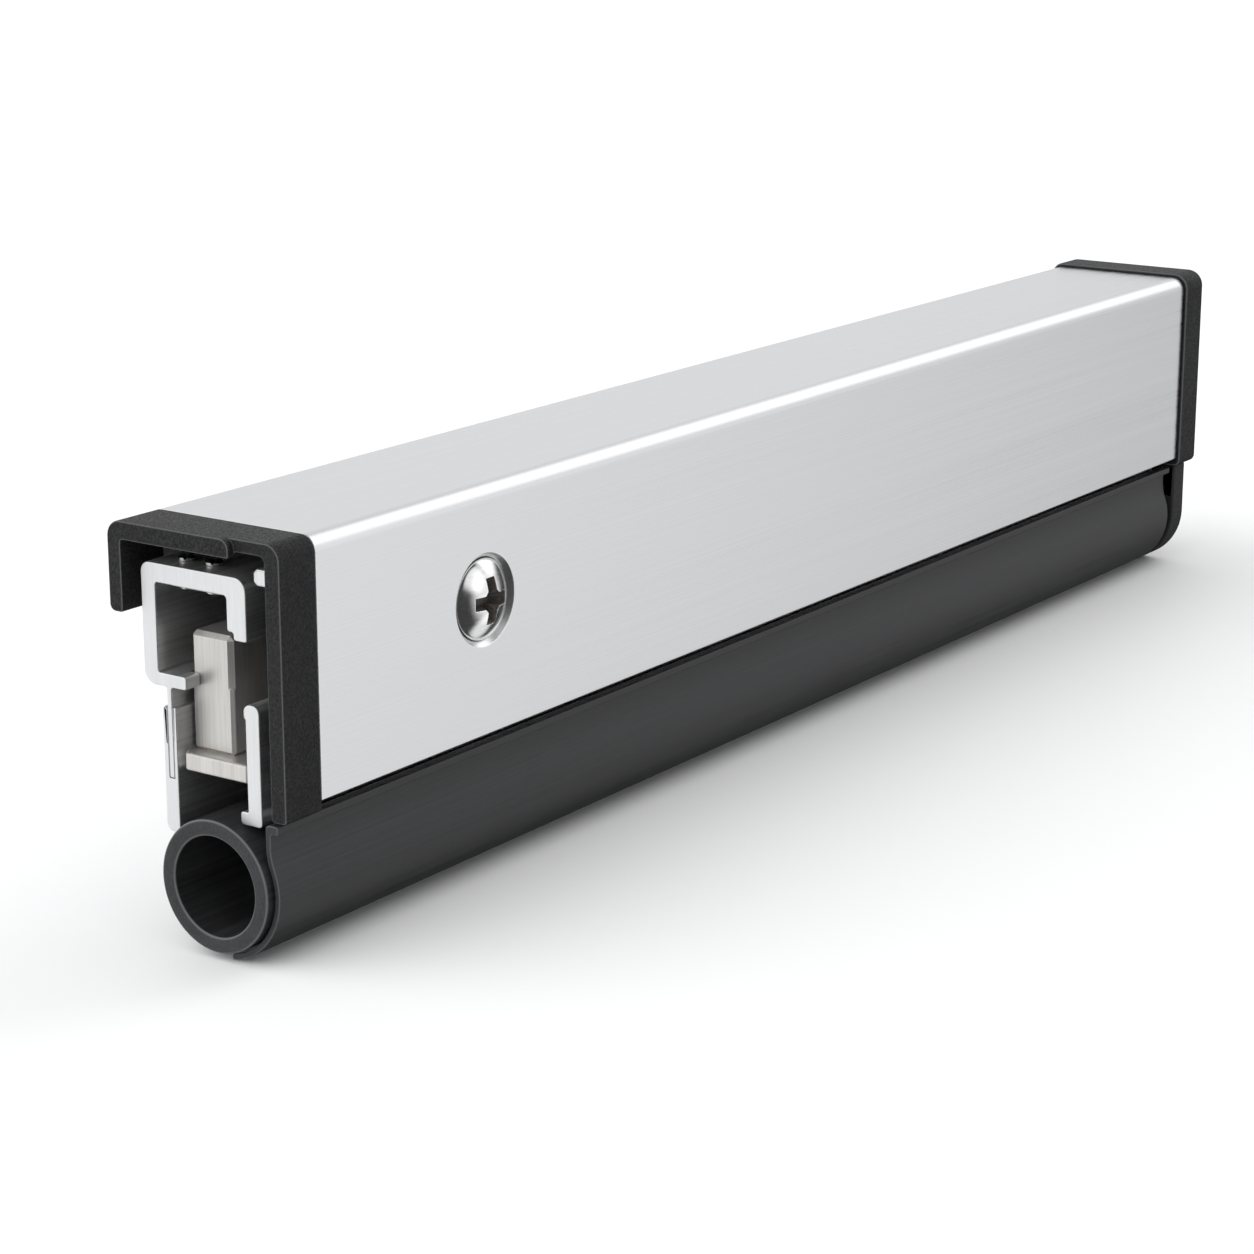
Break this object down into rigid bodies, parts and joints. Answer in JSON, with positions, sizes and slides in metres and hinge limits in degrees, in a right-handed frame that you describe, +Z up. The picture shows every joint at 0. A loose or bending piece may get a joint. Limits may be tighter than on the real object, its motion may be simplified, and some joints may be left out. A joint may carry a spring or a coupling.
{
  "type": "automatic door bottom seal",
  "caption": "Surface-mounted door bottom seal: an aluminium casing with end caps, and a rubber tube that a plunger and cam bar lower to the floor when the door shuts.",
  "frame": {"origin": "midway between the two door fixing holes, on the door's face", "axes": "+X along the seal towards the plunger end, +Y into the door, +Z up"},
  "size_m": [0.2389, 0.0252, 0.0492],
  "materials": {
    "housing_metal": "fine lengthwise brushed, clear anodised",
    "cap_plastic": "fine matt grain",
    "section_metal": "as extruded, satin",
    "block_steel": "plated, upright brushing",
    "bar_steel": "cold-drawn satin",
    "pin_steel": "turned, bright",
    "spring_wire": "drawn wire",
    "screw_chrome": "mirror polished",
    "plunger_brass": "turned",
    "pad_plastic": "matt",
    "tube_rubber": "satin extruded",
    "skirt_rubber": "satin extruded",
    "plug_rubber": "matt moulded"
  },
  "bodies": {
    "casing": {"housing_cover": "housing_metal", "near_end_cap": "cap_plastic", "cap_key": "section_metal", "far_end_cap": "cap_plastic", "guide_rail": "section_metal", "bar_guide_pins": "pin_steel", "near_mounting_pad": "pad_plastic", "far_mounting_pad": "pad_plastic", "pad_rivets": "pin_steel", "cover_screw": "screw_chrome", "screw_spacer": "bar_steel", "cover_nut": "pin_steel", "spring_anchor": "bar_steel", "anchor_rivets": "pin_steel", "return_spring": "spring_wire"},
    "seal_bar": {"front_drop_wall": "section_metal", "back_drop_wall": "section_metal", "near_cross_plate": "block_steel", "first_lift_plate": "block_steel", "second_lift_plate": "block_steel", "far_cross_plate": "block_steel", "block_screws": "pin_steel", "near_guide_block": "block_steel", "first_lift_block": "block_steel", "second_lift_block": "block_steel", "first_cam_pin": "pin_steel", "second_cam_pin": "pin_steel", "bulb_tube": "tube_rubber", "seal_skirt": "skirt_rubber", "seal_end_plug": "plug_rubber"},
    "drive": {"drive_bar": "bar_steel", "spring_guide_rod": "bar_steel", "bar_end_block": "bar_steel", "bar_end_rivets": "pin_steel", "plunger": "plunger_brass", "plunger_lock_nut": "pin_steel"}
  },
  "joints": [
    {"name": "seal_drop", "type": "slide", "parent": "casing", "child": "seal_bar", "axis": [0, 0, -1], "range_m": [0, 0.007], "stiffness_N_per_m": 200, "springref_m": -0.012},
    {"name": "plunger_push", "type": "slide", "parent": "casing", "child": "drive", "axis": [-1, 0, 0], "range_m": [0, 0.007], "deforming": ["return_spring"]}
  ],
  "couplings": [
    {"joint": "plunger_push", "follows": "seal_drop", "ratio": 1}
  ]
}
